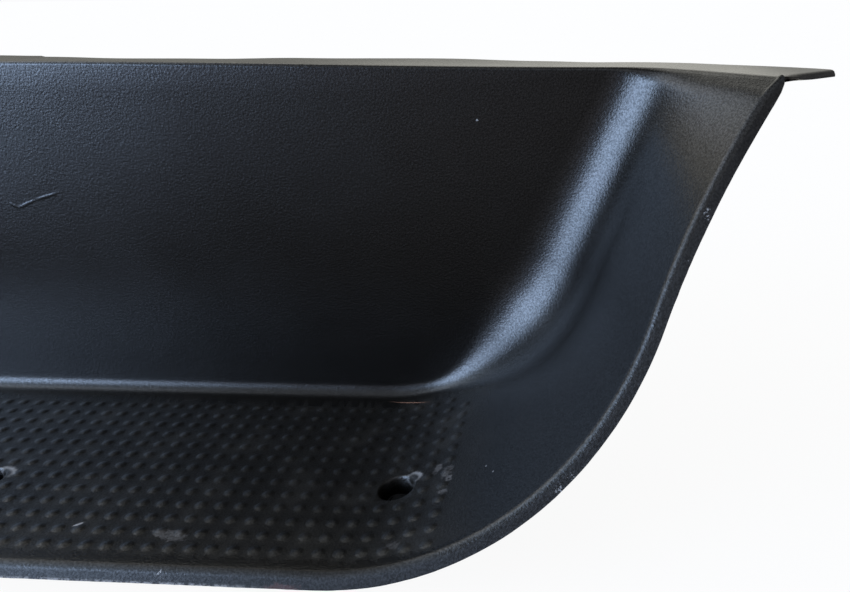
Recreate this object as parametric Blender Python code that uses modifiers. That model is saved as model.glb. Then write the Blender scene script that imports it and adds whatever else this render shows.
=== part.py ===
"""Moulded step trim for a van's side door, with the rivets, washers, seals and pads that fit it.

Frame: +Z up, +X along the door opening, -Y out of the vehicle. The world origin is at the middle of
the width, on the underside of the front edge seal, so z = 0 is the vehicle's step panel.
All shapes are worked out from another point, the corner where the riser's front face meets the
tread's upper face at mid-width; the empty named corner carries them to their place in the world.
"""
import math

import bmesh
import bpy
import numpy as np
from mathutils import Vector

# ---------------------------------------------------------------- driving dimensions, in metres
SHEET = 0.003                 # wall thickness of the moulding
TREAD_DEPTH = 0.151           # riser to the start of the front lip
FLANGE_TOP = 0.2015           # tread to the top of the flange, at mid-width
CROWN = 0.0035                # how much lower the flange is at the ends of the riser
CROWN_SPAN = 0.330            # half width over which it falls
BACK_FLAT = 0.185             # half width of the flat tread at the riser
FRONT_FLAT = 0.1976           # half width of the flat tread at the lip
BACK_BEND = 0.130             # radius of the sweep from tread to end wall, at the riser
FRONT_BEND = 0.1545           # the same at the lip
END_WALL_ANGLE = math.radians(69.0)   # slope of the end wall above the sweep
RIM_TOP_ANGLE = math.radians(53.5)    # slope of the rim where it meets the flange
RIM_LEAN = 0.52               # how far the rim leans back for each metre of height
SMALL_FILLET = 0.006          # riser to tread
LARGE_FILLET = 0.045          # riser to end wall
FILLET_GROWTH = (1.20, 1.80)   # shares of the outline between which the fillet widens
FLANGE_BEND = 0.0035          # riser to flange, on the seen side
FLANGE_BACK = 0.031           # flange width behind the riser
FLANGE_END = 0.0505           # flange width at the rim
FLANGE_WIDENING = 0.110       # length over which it widens
LIP_BEND = 0.0035
LIP_TURN = math.radians(60.0)
LIP_FACE = 0.0048
GAP = 0.0003                  # clearance between touching pieces

RIVET_X = 0.220
RIVET_Y = -0.095
DISH_DEPTH = 0.007
DISH_TOP_RADIUS = 0.0085
DISH_FLOOR_RADIUS = 0.0065
RIVET_HOLE_RADIUS = 0.0036
PANEL_Z = -0.012              # the vehicle's step panel, which the pads and washers rest on

SLEEVE_HEAD_RADIUS = 0.0055
SLEEVE_HEAD_HEIGHT = 0.0016
SLEEVE_RADIUS = 0.0032
SLEEVE_BORE = 0.0020
SLEEVE_LENGTH = 0.018
SLOT_WIDTH = 0.0009
SLOT_LENGTH = 0.011
PIN_RADIUS = 0.0016
PIN_HEAD_RADIUS = 0.0034
PIN_HEAD_HEIGHT = 0.0012
PIN_LENGTH = 0.017

WASHER_OUTER = 0.0085
WASHER_INNER = 0.0042

FRONT_SEAL_DEPTH = 0.011
FRONT_SEAL_Y = -0.1415        # middle of the seal behind the lip

FLAT_STEPS = 6                # columns of the half shell on the flat tread
SWEEP_STEPS = 14              # columns on the sweep
WALL_STEPS = 8                # columns on the end wall above it
FILLET_STEPS = 6
BEND_STEPS = 3

BLACK_PLASTIC = (0.012, 0.013, 0.015)
BLACK_NYLON = (0.008, 0.008, 0.009)
DARK_FOAM = (0.030, 0.030, 0.033)
GREY_FOAM = (0.085, 0.087, 0.092)
BLACK_RUBBER = (0.014, 0.014, 0.014)


# ---------------------------------------------------------------- scene helpers
def clear_scene():
    for obj in list(bpy.data.objects):
        bpy.data.objects.remove(obj, do_unlink=True)


def new_collection(name):
    collection = bpy.data.collections.new(name)
    bpy.context.scene.collection.children.link(collection)
    return collection


def make_material(name, colour, roughness, metallic=0.0):
    material = bpy.data.materials.new(name)
    material.use_nodes = True
    shader = material.node_tree.nodes["Principled BSDF"]
    shader.inputs["Base Color"].default_value = (*colour, 1.0)
    shader.inputs["Roughness"].default_value = roughness
    shader.inputs["Metallic"].default_value = metallic
    return material


def link_mesh(name, mesh, collection, material=None):
    obj = bpy.data.objects.new(name, mesh)
    collection.objects.link(obj)
    if material is not None:
        mesh.materials.append(material)
    return obj


def finish_bmesh(bm, name):
    mesh = bpy.data.meshes.new(name)
    bm.to_mesh(mesh)
    bm.free()
    return mesh


def make_cutter(obj):
    obj.hide_render = True
    obj.display_type = "WIRE"
    return obj


def add_boolean(obj, other, operation):
    modifier = obj.modifiers.new(other.name, "BOOLEAN")
    modifier.operation = operation
    modifier.object = other
    modifier.solver = "EXACT"


def add_bevel(obj, width, segments=2):
    modifier = obj.modifiers.new("rounded edges", "BEVEL")
    modifier.width = width
    modifier.segments = segments
    modifier.limit_method = "ANGLE"
    modifier.angle_limit = math.radians(40.0)


def turned_mesh(name, profile, steps=24):
    """Turn an open (radius, height) profile about +Z; both of its ends lie on the axis or it is a ring."""
    bm = bmesh.new()
    verts = [bm.verts.new((radius, 0.0, height)) for radius, height in profile]
    for first, second in zip(verts, verts[1:]):
        bm.edges.new((first, second))
    if profile[0][0] > 0.0:
        bm.edges.new((verts[-1], verts[0]))
    geometry = bm.verts[:] + bm.edges[:]
    bmesh.ops.spin(bm, geom=geometry, cent=(0.0, 0.0, 0.0), axis=(0.0, 0.0, 1.0),
                   angle=2.0 * math.pi, steps=steps, use_merge=True, use_duplicate=False)
    bmesh.ops.remove_doubles(bm, verts=bm.verts, dist=1e-6)
    bmesh.ops.recalc_face_normals(bm, faces=bm.faces)
    return finish_bmesh(bm, name)


def box_mesh(name, size):
    bm = bmesh.new()
    bmesh.ops.create_cube(bm, size=1.0)
    bmesh.ops.scale(bm, vec=size, verts=bm.verts)
    return finish_bmesh(bm, name)


def shade(obj, angle=math.radians(40.0)):
    obj.data.shade_smooth()
    obj.data.set_sharp_from_angle(angle=angle)


# ---------------------------------------------------------------- the moulding's surface
def smooth_step(value, low, high):
    share = min(max((value - low) / (high - low), 0.0), 1.0)
    return share * share * (3.0 - 2.0 * share)


def arc_point(flat, bend, angle):
    """A point on a sweep that leaves the tread at flat and has turned through angle."""
    return flat + bend * math.sin(angle), bend * (1.0 - math.cos(angle))


def crown_drop(x):
    """How far the flange at x lies below its top at mid-width."""
    share = min(abs(x) / CROWN_SPAN, 1.0)
    return CROWN * (1.0 - math.cos(math.pi * share)) / 2.0


def station(share):
    """Corner, inward direction, rim and fillet radius; share runs 0 to 1 on the tread, to 2, to 3."""
    top = FLANGE_TOP - CROWN - FLANGE_BEND
    if share <= 1.0:
        corner = (BACK_FLAT * share, 0.0)
        rim = (FRONT_FLAT * share, 0.0)
        tilt = 0.0
    elif share <= 2.0:
        tilt = END_WALL_ANGLE * (share - 1.0)
        corner = arc_point(BACK_FLAT, BACK_BEND, tilt)
        rim = arc_point(FRONT_FLAT, FRONT_BEND, tilt)
    else:
        rise = share - 2.0
        low_x, low_z = arc_point(BACK_FLAT, BACK_BEND, END_WALL_ANGLE)
        high = low_z + (top - low_z) * rise
        corner = (low_x + (high - low_z) / math.tan(END_WALL_ANGLE), high)
        rim_x, rim_z = arc_point(FRONT_FLAT, FRONT_BEND, END_WALL_ANGLE)
        height = (top - rim_z) * rise
        slope = END_WALL_ANGLE + (RIM_TOP_ANGLE - END_WALL_ANGLE) * rise
        mean_slope = (END_WALL_ANGLE + slope) / 2.0
        rim = (rim_x + height / math.tan(mean_slope), rim_z + height)
        tilt = END_WALL_ANGLE + (math.pi / 2.0 - END_WALL_ANGLE) * rise
    inward = Vector((-math.sin(tilt), 0.0, math.cos(tilt)))
    radius = SMALL_FILLET + (LARGE_FILLET - SMALL_FILLET) * smooth_step(share, *FILLET_GROWTH)
    corner_point = Vector((corner[0], 0.0, corner[1]))
    rim_point = Vector((rim[0], RIM_LEAN * rim[1] - TREAD_DEPTH, rim[1]))
    return corner_point, inward, rim_point, radius


def fillet_points(corner, first, second, radius, steps):
    """Points on the arc that joins the rays from corner along first and second."""
    half = first.angle(second) / 2.0
    reach = radius / math.tan(half)
    centre = corner + (first + second).normalized() * (radius / math.sin(half))
    start = (corner + first * reach - centre).normalized()
    end = (corner + second * reach - centre).normalized()
    return [centre + start.slerp(end, step / steps) * radius for step in range(steps + 1)]


def lip_points(rim, along, outward):
    """The lip after the rim: a rounded turn to the outside and a straight face."""
    points = []
    for step in range(1, BEND_STEPS + 1):
        angle = LIP_TURN * step / BEND_STEPS
        points.append(rim + along * (LIP_BEND * math.sin(angle))
                      + outward * (LIP_BEND * (1.0 - math.cos(angle))))
    face = along * math.cos(LIP_TURN) + outward * math.sin(LIP_TURN)
    points.append(points[-1] + face * LIP_FACE)
    return points


def shell_column(share, top_x):
    """One line of the half shell, from the top of the riser to the edge of the lip."""
    corner, inward, rim, radius = station(share)
    along = (rim - corner).normalized()
    fillet = fillet_points(corner, inward, along, radius, FILLET_STEPS)
    outward = -(inward - along * inward.dot(along)).normalized()
    middle = fillet[-1].lerp(rim, 0.5)
    top = Vector((top_x, 0.0, FLANGE_TOP - crown_drop(top_x) - FLANGE_BEND))
    return [top] + fillet + [middle, rim] + lip_points(rim, along, outward)


def flange_strip(point, outward, width):
    """The turn from the wall's top edge to the flange, and the flange's outer edge."""
    strip = []
    for step in range(1, BEND_STEPS + 1):
        angle = math.pi / 2.0 * step / BEND_STEPS
        strip.append(point + outward * (FLANGE_BEND * (1.0 - math.cos(angle)))
                     + Vector((0.0, 0.0, FLANGE_BEND * math.sin(angle))))
    strip.append(point + outward * width + Vector((0.0, 0.0, FLANGE_BEND)))
    return strip


def column_shares():
    flat = [step / FLAT_STEPS for step in range(FLAT_STEPS)]
    sweep = [1.0 + step / SWEEP_STEPS for step in range(SWEEP_STEPS)]
    wall = [2.0 + step / WALL_STEPS for step in range(WALL_STEPS + 1)]
    return flat + sweep + wall


def half_shell_bmesh():
    """The seen face of the right half, open at x = 0, with its normals towards the foot."""
    bm = bmesh.new()
    shares = column_shares()
    corner, inward, rim, radius = station(3.0)
    reach = radius / math.tan(inward.angle(rim - corner) / 2.0)
    top_end = corner.x - reach
    columns = []
    for share in shares:
        top_x = BACK_FLAT * share
        if share > 1.0:
            top_x = BACK_FLAT + (top_end - BACK_FLAT) * (share - 1.0) / 2.0
        columns.append([bm.verts.new(point) for point in shell_column(share, top_x)])
    for left, right in zip(columns, columns[1:]):
        for row in range(len(left) - 1):
            bm.faces.new((left[row], left[row + 1], right[row + 1], right[row]))
    rim_row = 1 + FILLET_STEPS + 2
    edge = [column[0] for column in columns] + columns[-1][2:rim_row + 1]
    add_flange(bm, edge)
    bmesh.ops.remove_doubles(bm, verts=bm.verts, dist=1e-6)
    bmesh.ops.dissolve_degenerate(bm, edges=bm.edges, dist=1e-6)
    return bm


def add_flange(bm, edge):
    """Turn the top edge of the riser and of the end wall out into the flange."""
    length = np.cumsum([0.0] + [(b.co - a.co).length for a, b in zip(edge, edge[1:])])
    widening = length[-1] - FLANGE_WIDENING
    strips = []
    for index, vert in enumerate(edge):
        before = edge[max(index - 1, 0)].co
        after = edge[min(index + 1, len(edge) - 1)].co
        tangent = (after - before).normalized()
        outward = Vector((-tangent.y, tangent.x, 0.0)).normalized()
        wider = smooth_step(length[index], widening, length[-1])
        width = FLANGE_BACK + (FLANGE_END - FLANGE_BACK) * wider
        strips.append([vert] + [bm.verts.new(point) for point in flange_strip(vert.co, outward, width)])
    for left, right in zip(strips, strips[1:]):
        for row in range(len(left) - 1):
            bm.faces.new((left[row], right[row], right[row + 1], left[row + 1]))


def tread_height(x, y):
    """Height of the tread's upper face on the sweep, between the riser and the lip."""
    share = -y / TREAD_DEPTH
    flat = BACK_FLAT + (FRONT_FLAT - BACK_FLAT) * share
    bend = BACK_BEND + (FRONT_BEND - BACK_BEND) * share
    reach = max(abs(x) - flat, 0.0)
    return bend - math.sqrt(bend * bend - reach * reach)


def build_shell(collection, cutters, material):
    obj = link_mesh("step_shell", finish_bmesh(half_shell_bmesh(), "step_shell"), collection, material)
    mirror = obj.modifiers.new("left half", "MIRROR")
    mirror.use_axis = (True, False, False)
    mirror.merge_threshold = 0.0001
    solid = obj.modifiers.new("sheet", "SOLIDIFY")
    solid.thickness = SHEET
    solid.offset = -1.0
    solid.use_even_offset = True
    solid.use_quality_normals = True
    for side, x in rivet_places():
        surface = tread_height(x, RIVET_Y)
        add_boolean(obj, dish_cup(cutters, side, x, surface), "UNION")
        add_boolean(obj, dish_hollow(cutters, side, x), "DIFFERENCE")
    shade(obj)
    return obj


def rivet_places():
    return (("left", -RIVET_X), ("centre", 0.0), ("right", RIVET_X))


def dish_cup(cutters, side, x, surface):
    """The outside of a dish, which ends inside the sheet."""
    slope = (DISH_TOP_RADIUS - DISH_FLOOR_RADIUS) / DISH_DEPTH
    floor = -DISH_DEPTH - SHEET
    top = surface - SHEET / 2.0
    low_radius = DISH_FLOOR_RADIUS + SHEET
    high_radius = low_radius + (top - floor) * slope
    profile = [(0.0, top), (high_radius, top), (low_radius, floor), (0.0, floor)]
    obj = link_mesh("dish_cup_" + side, turned_mesh("dish_cup_" + side, profile), cutters)
    obj.location = (x, RIVET_Y, 0.0)
    return make_cutter(obj)


def dish_hollow(cutters, side, x):
    """The inside of a dish and the rivet hole in its floor."""
    slope = (DISH_TOP_RADIUS - DISH_FLOOR_RADIUS) / DISH_DEPTH
    top = 0.012
    high_radius = DISH_FLOOR_RADIUS + (top + DISH_DEPTH) * slope
    below = -DISH_DEPTH - 2.0 * SHEET
    profile = [(0.0, top), (high_radius, top), (DISH_FLOOR_RADIUS, -DISH_DEPTH),
               (RIVET_HOLE_RADIUS, -DISH_DEPTH), (RIVET_HOLE_RADIUS, below), (0.0, below)]
    obj = link_mesh("dish_hollow_" + side, turned_mesh("dish_hollow_" + side, profile), cutters)
    obj.location = (x, RIVET_Y, 0.0)
    return make_cutter(obj)


# ---------------------------------------------------------------- push rivets
def sleeve_profile():
    """Section of the hollow rivet sleeve; z = 0 is the underside of its head."""
    recess = SLEEVE_HEAD_HEIGHT * 0.45
    return [(SLEEVE_BORE, SLEEVE_HEAD_HEIGHT - recess),
            (PIN_HEAD_RADIUS + 2.0 * GAP, SLEEVE_HEAD_HEIGHT - recess),
            (PIN_HEAD_RADIUS + 2.0 * GAP, SLEEVE_HEAD_HEIGHT),
            (SLEEVE_HEAD_RADIUS - 0.0006, SLEEVE_HEAD_HEIGHT),
            (SLEEVE_HEAD_RADIUS, SLEEVE_HEAD_HEIGHT * 0.5),
            (SLEEVE_HEAD_RADIUS, 0.0),
            (SLEEVE_RADIUS, 0.0),
            (SLEEVE_RADIUS, -0.006),
            (SLEEVE_RADIUS + 0.0003, -0.010),
            (SLEEVE_BORE + 0.0007, -SLEEVE_LENGTH),
            (SLEEVE_BORE, -SLEEVE_LENGTH)]


def build_sleeve(collection, cutters, side, x, material):
    name = "tread_rivet_sleeve_" + side
    obj = link_mesh(name, turned_mesh(name, sleeve_profile()), collection, material)
    obj.location = (x, RIVET_Y, -DISH_DEPTH + GAP)
    for index in range(2):
        label = "sleeve_slot_%s_%d" % (side, index)
        slot = link_mesh(label, box_mesh(label, (0.02, SLOT_WIDTH, SLOT_LENGTH)), cutters)
        slot.location = obj.location + Vector((0.0, 0.0, SLOT_LENGTH / 2.0 - SLEEVE_LENGTH - 0.001))
        slot.rotation_euler = (0.0, 0.0, math.pi * (0.25 + 0.5 * index))
        add_boolean(obj, make_cutter(slot), "DIFFERENCE")
    shade(obj)
    return obj


def pin_profile():
    """Section of the drive pin; z = 0 is the underside of its head."""
    return [(0.0, PIN_HEAD_HEIGHT),
            (PIN_HEAD_RADIUS * 0.85, PIN_HEAD_HEIGHT),
            (PIN_HEAD_RADIUS, PIN_HEAD_HEIGHT * 0.5),
            (PIN_HEAD_RADIUS, 0.0),
            (PIN_RADIUS, 0.0),
            (PIN_RADIUS, 0.0025 - PIN_LENGTH),
            (PIN_RADIUS * 0.4, -PIN_LENGTH),
            (0.0, -PIN_LENGTH)]


def build_pin(collection, side, x, material):
    name = "tread_rivet_pin_" + side
    obj = link_mesh(name, turned_mesh(name, pin_profile(), steps=20), collection, material)
    recess = SLEEVE_HEAD_HEIGHT * 0.45
    obj.location = (x, RIVET_Y, -DISH_DEPTH + 2.0 * GAP + SLEEVE_HEAD_HEIGHT - recess)
    shade(obj)
    return obj


def build_washer(collection, side, x, material):
    name = "sealing_washer_" + side
    top = -DISH_DEPTH - SHEET - GAP
    inset = 0.0003
    profile = [(WASHER_INNER, top), (WASHER_OUTER - inset, top), (WASHER_OUTER, top - inset),
               (WASHER_OUTER, PANEL_Z + inset), (WASHER_OUTER - inset, PANEL_Z), (WASHER_INNER, PANEL_Z)]
    obj = link_mesh(name, turned_mesh(name, profile), collection, material)
    obj.location = (x, RIVET_Y, 0.0)
    shade(obj)
    return obj


# ---------------------------------------------------------------- pads and seals
def build_block(collection, name, low, high, material, radius=0.0012):
    """A foam block between two corners, with its edges eased."""
    low = Vector(low)
    high = Vector(high)
    obj = link_mesh(name, box_mesh(name, high - low), collection, material)
    obj.location = (low + high) / 2.0
    add_bevel(obj, radius)
    return obj


def build_crowned_strip(collection, name, low, high, segments, material):
    """A strip that follows the crown of the flange above it."""
    obj = build_block(collection, name, low, high, material, radius=0.0008)
    bm = bmesh.new()
    bm.from_mesh(obj.data)
    for step in range(1, segments):
        x = low[0] + (high[0] - low[0]) * step / segments
        bmesh.ops.bisect_plane(bm, geom=bm.verts[:] + bm.edges[:] + bm.faces[:],
                               plane_co=(x - obj.location.x, 0.0, 0.0), plane_no=(1.0, 0.0, 0.0))
    for vert in bm.verts:
        vert.co.z -= crown_drop(vert.co.x + obj.location.x)
    bm.to_mesh(obj.data)
    bm.free()
    return obj


def build_tread_pads(collection, material):
    top = -SHEET - GAP
    for side, sign in (("left", -1.0), ("right", 1.0)):
        inner = 0.045 * sign
        outer = 0.165 * sign
        low = (min(inner, outer), -0.125, PANEL_Z)
        high = (max(inner, outer), -0.035, top)
        build_block(collection, "tread_support_pad_" + side, low, high, material)


def build_riser_pads(collection, material):
    front = SHEET + GAP
    for side, x in (("left", -0.190), ("centre", 0.0), ("right", 0.190)):
        low = (x - 0.030, front, 0.070)
        high = (x + 0.030, front + 0.008, 0.130)
        build_block(collection, "riser_pad_" + side, low, high, material)


def build_front_seal(collection, material):
    low = (-BACK_FLAT, FRONT_SEAL_Y - FRONT_SEAL_DEPTH / 2.0, PANEL_Z)
    high = (BACK_FLAT, FRONT_SEAL_Y + FRONT_SEAL_DEPTH / 2.0, -SHEET - GAP)
    build_block(collection, "front_edge_seal", low, high, material)


def build_flange_seals(collection, material):
    top = FLANGE_TOP - SHEET - GAP
    low = (-0.290, 0.014, top - 0.004)
    high = (0.290, 0.026, top)
    build_crowned_strip(collection, "flange_seal_back", low, high, 15, material)
    for side, sign in (("left", -1.0), ("right", 1.0)):
        build_end_seal(collection, side, sign, top - CROWN, material)


def build_end_seal(collection, side, sign, top, material):
    """A strip under the flange beside one end wall."""
    corner, inward, rim, radius = station(3.0)
    along = (rim - corner).normalized()
    outward = Vector((-along.y, along.x, 0.0))
    middle = corner.lerp(rim, 0.50) + outward * 0.0155
    name = "flange_seal_" + side
    obj = link_mesh(name, box_mesh(name, (0.034, 0.010, 0.004)), collection, material)
    angle = math.atan2(along.y, along.x)
    obj.location = (sign * middle.x, middle.y, top - 0.002)
    obj.rotation_euler = (0.0, 0.0, sign * angle)
    add_bevel(obj, 0.0008)
    return obj


# ---------------------------------------------------------------- assembly
def carry_on_corner(collection):
    """Parent every piece and cutter to the corner, which stands above and behind the world origin."""
    pieces = list(bpy.data.objects)
    corner = bpy.data.objects.new("corner", None)
    collection.objects.link(corner)
    corner.location = (0.0, -FRONT_SEAL_Y, -PANEL_Z)
    for obj in pieces:
        obj.parent = corner


def build():
    clear_scene()
    parts = new_collection("van_door_step_trim")
    cutters = new_collection("cutters")
    plastic = make_material("black textured plastic", BLACK_PLASTIC, 0.55)
    nylon = make_material("black nylon", BLACK_NYLON, 0.45)
    rubber = make_material("sealing rubber", BLACK_RUBBER, 0.80)
    pad_foam = make_material("support foam", DARK_FOAM, 0.92)
    seal_foam = make_material("seal foam", GREY_FOAM, 0.95)
    build_shell(parts, cutters, plastic)
    for side, x in rivet_places():
        build_sleeve(parts, cutters, side, x, nylon)
        build_pin(parts, side, x, nylon)
        build_washer(parts, side, x, rubber)
    build_tread_pads(parts, pad_foam)
    build_riser_pads(parts, pad_foam)
    build_front_seal(parts, seal_foam)
    build_flange_seals(parts, seal_foam)
    carry_on_corner(parts)


build()
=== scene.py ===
import math
import random

import bmesh
import bpy
from mathutils import Euler, Matrix, Vector, noise
from mathutils.bvhtree import BVHTree


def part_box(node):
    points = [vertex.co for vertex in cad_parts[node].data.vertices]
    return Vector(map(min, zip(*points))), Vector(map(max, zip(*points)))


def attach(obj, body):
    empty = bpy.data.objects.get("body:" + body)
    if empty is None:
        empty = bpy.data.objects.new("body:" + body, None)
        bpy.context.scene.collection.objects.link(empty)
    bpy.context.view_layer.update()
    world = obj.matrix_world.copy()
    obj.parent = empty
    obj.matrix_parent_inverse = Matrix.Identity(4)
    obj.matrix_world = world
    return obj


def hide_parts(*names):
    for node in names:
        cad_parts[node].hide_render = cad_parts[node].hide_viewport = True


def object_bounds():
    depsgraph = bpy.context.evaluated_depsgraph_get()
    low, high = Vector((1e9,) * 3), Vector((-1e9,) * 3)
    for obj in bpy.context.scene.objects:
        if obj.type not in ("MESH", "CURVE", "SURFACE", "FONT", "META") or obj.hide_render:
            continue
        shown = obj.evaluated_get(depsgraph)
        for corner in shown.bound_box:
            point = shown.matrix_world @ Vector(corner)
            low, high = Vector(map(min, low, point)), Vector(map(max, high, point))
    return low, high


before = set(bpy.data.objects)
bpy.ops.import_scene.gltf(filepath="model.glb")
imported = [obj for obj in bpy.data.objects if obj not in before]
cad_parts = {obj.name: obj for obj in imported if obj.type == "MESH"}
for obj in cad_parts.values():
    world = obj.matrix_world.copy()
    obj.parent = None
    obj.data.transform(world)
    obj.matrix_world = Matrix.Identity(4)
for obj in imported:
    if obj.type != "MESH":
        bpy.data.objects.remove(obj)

CAD_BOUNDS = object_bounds()
SHELL_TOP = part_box("step_shell")[1].z

# ---------------- the moulding's driving dimensions
SHEET = 0.003                 # wall thickness of the moulding
TREAD_DEPTH = 0.1502          # riser to the start of the front lip
FLANGE_TOP = 0.2015           # height of the flange at mid-width
CROWN = 0.0035                # how much lower the flange is at its ends
CROWN_SPAN = 0.330            # distance from mid-width at which it is that much lower
BACK_FLAT = 0.185             # half width of the flat tread at the riser
FRONT_FLAT = 0.1976           # the same at the lip
BACK_BEND = 0.130             # radius of the sweep into the end wall at the riser
FRONT_BEND = 0.1545           # the same at the lip
CORNER_BOW = 0.010            # how far the corner bows inwards at the top of the end wall
END_WALL_ANGLE = math.radians(69.0)
RIM_TOP_ANGLE = math.radians(53.5)  # slope of the flared rim where it ends
RIM_LEAN = 0.52               # how far the rim runs back for each step up
SMALL_FILLET = 0.008          # tread to riser
LARGE_FILLET = 0.045          # end wall to riser
FILLET_GROWTH = (1.20, 1.80)  # shares between which the fillet widens
FLANGE_BEND = 0.0022          # riser to flange
WALL_BEND = 0.0095            # end wall to flange, where the bend is wider
WALL_BEND_GROWTH = 0.045      # length over which the bend widens
FLANGE_ROUND = 0.0031         # rounding of the flange's front edge
FLANGE_CORNER = (0.012, 0.0018)     # length and depth of its rounded free corner, seen from above
FLANGE_TAPER = (0.020, 0.25)  # length over which the sheet thins to its free corner, and the share lost
FLANGE_BACK = 0.031           # width along the riser
FLANGE_END = 0.0540           # width at its free ends
FLANGE_WIDENING = 0.110       # length over which it widens
FLANGE_TURN = math.radians(8.0)     # how far the widening part swings sideways
LIP_BEND = 0.0048
LIP_TURN = math.radians(60.0)
LIP_FACE = 0.0040             # depth of the lip's flat face
RIVET_X = 0.220
RIVET_Y = -0.095
DISH_DEPTH = 0.007
RIVET_HOLE_RADIUS = 0.0036
SEAL_LENGTH = 0.034           # seal under the flange beside each end wall
SEAL_WIDTH = 0.010
SEAL_HEIGHT = 0.004           # height of every seal under the flange

SLEEVE_LOW, SLEEVE_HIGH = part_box("tread_rivet_sleeve_right")
CORNER = Vector((0.0, (SLEEVE_LOW.y + SLEEVE_HIGH.y) / 2.0 - RIVET_Y, SHELL_TOP - FLANGE_TOP))

# ---------------- the fine mesh and its bumps
LATTICE = 0.0025              # spacing of the mesh lines under the bumps
FIELD_COLUMNS = 100           # mesh lines from mid-width to the field's end
FIELD_ROWS = 52               # mesh lines from the field's back to its front
FIELD_BACK = -0.015
FIELD_FRONT = FIELD_BACK - LATTICE * FIELD_ROWS
BUMP_HALF = 2                 # half a bump's square, in mesh lines
BUMP_HEIGHT = 0.00055
BUMP_SPREAD = (0.90, 1.06)    # shares of that height between which the bumps differ
WEAR_SPREAD = (0.45, 1.0)     # how worn their tops are
FIELD_FADE = 8                # mesh lines beyond the field over which its dust fades
# Rings from the outside in: radius, and share of the bump's height or of the dish's depth.
BUMP_RINGS = ((0.0034, 0.0), (0.0030, 0.09), (0.0022, 0.44), (0.0012, 0.83))
DISH_HALF = 4                 # half a dish's square, in mesh lines
DISH_RINGS = ((0.0098, 0.0), (0.0094, 0.03), (0.0090, 0.11), (0.0087, 0.24), (0.0078, 0.58),
              (0.0070, 0.86), (0.0067, 0.96), (0.0062, 1.0), (0.0049, 1.0), (RIVET_HOLE_RADIUS, 1.0))

RISER_ROWS = 14
FILLET_ROWS = 12
FRONT_ROWS = 2
BEND_ROWS = 7
LIP_FACE_ROWS = 3
FLANGE_ROWS = 7
SWEEP_COLUMNS = 36
WALL_COLUMNS = 44

LIP_END_LENGTH = 0.10         # share of the end wall over which the lip grows to its rounded end
LIP_END_RISE = 1.0            # height of the rounded end, in half widths of the lip
LIP_END_DROP = 0.0055         # how far the end's outer corner is cut away
LIP_END_APEX = 0.3            # place of the end's highest point across the lip
LIP_END_SQUARENESS = 2.2      # power in the end's outline: 2 is an ellipse, more is squarer
EDGE_ROUGHNESS = 0.00025      # unevenness of the trimmed edges
EDGE_WAVES = (60.0, 330.0)    # slow and fine unevenness, in waves to the metre
WELD = 2e-6                   # points closer than this are made one
EDGE_ROUND = 0.0008           # rounding of the sheet's sharp edges
# Rise of the flange's free edge at distances from mid-width: the thin flange is not quite flat.
FLANGE_WARP = ((0.000, -0.0003), (0.045, -0.0011), (0.100, -0.0008), (0.150, 0.0003),
               (0.235, 0.0012), (0.287, 0.0003), (0.325, -0.0004), (0.440, 0.0000))
LEFT_WARP = -0.7              # the left half warps the other way, by this share


# ---------------- surface of the moulding
def smooth_step(value, low, high):
    share = min(max((value - low) / (high - low), 0.0), 1.0)
    return share * share * (3.0 - 2.0 * share)


def arc_point(flat, bend, angle):
    """A point on a sweep that leaves the tread at flat and has turned through angle."""
    return flat + bend * math.sin(angle), bend * (1.0 - math.cos(angle))


def crown_drop(x):
    """How far the flange at x lies below its top at mid-width."""
    share = min(abs(x) / CROWN_SPAN, 1.0)
    return CROWN * (1.0 - math.cos(math.pi * share)) / 2.0


def station(share):
    """Corner, inward direction, rim and fillet radius; share runs 0 to 1 on the tread, to 2, to 3."""
    top = FLANGE_TOP - CROWN - FLANGE_BEND
    if share <= 1.0:
        corner = (BACK_FLAT * share, 0.0)
        rim = (FRONT_FLAT * share, 0.0)
        tilt = 0.0
    elif share <= 2.0:
        tilt = END_WALL_ANGLE * (share - 1.0)
        corner = arc_point(BACK_FLAT, BACK_BEND, tilt)
        rim = arc_point(FRONT_FLAT, FRONT_BEND, tilt)
    else:
        rise = share - 2.0
        low_x, low_z = arc_point(BACK_FLAT, BACK_BEND, END_WALL_ANGLE)
        high = low_z + (top - low_z) * rise
        corner = (low_x + (high - low_z) / math.tan(END_WALL_ANGLE) - CORNER_BOW * rise * rise, high)
        rim_x, rim_z = arc_point(FRONT_FLAT, FRONT_BEND, END_WALL_ANGLE)
        height = (top - rim_z) * rise
        slope = END_WALL_ANGLE + (RIM_TOP_ANGLE - END_WALL_ANGLE) * rise
        mean_slope = (END_WALL_ANGLE + slope) / 2.0
        rim = (rim_x + height / math.tan(mean_slope), rim_z + height)
        tilt = END_WALL_ANGLE + (math.pi / 2.0 - END_WALL_ANGLE) * rise
    inward = Vector((-math.sin(tilt), 0.0, math.cos(tilt)))
    radius = SMALL_FILLET + (LARGE_FILLET - SMALL_FILLET) * smooth_step(share, *FILLET_GROWTH)
    corner_point = Vector((corner[0], 0.0, corner[1]))
    rim_point = Vector((rim[0], RIM_LEAN * rim[1] - TREAD_DEPTH, rim[1]))
    return corner_point, inward, rim_point, radius


def fillet_reach(share):
    corner, inward, rim, radius = station(share)
    return radius / math.tan(inward.angle(rim - corner) / 2.0)


TOP_END = station(3.0)[0].x - fillet_reach(3.0)   # end of the riser's top edge


def riser_top(share):
    x = BACK_FLAT * share
    if share > 1.0:
        x = BACK_FLAT + (TOP_END - BACK_FLAT) * (share - 1.0) / 2.0
    return Vector((x, 0.0, FLANGE_TOP - crown_drop(x) - FLANGE_BEND))


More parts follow.
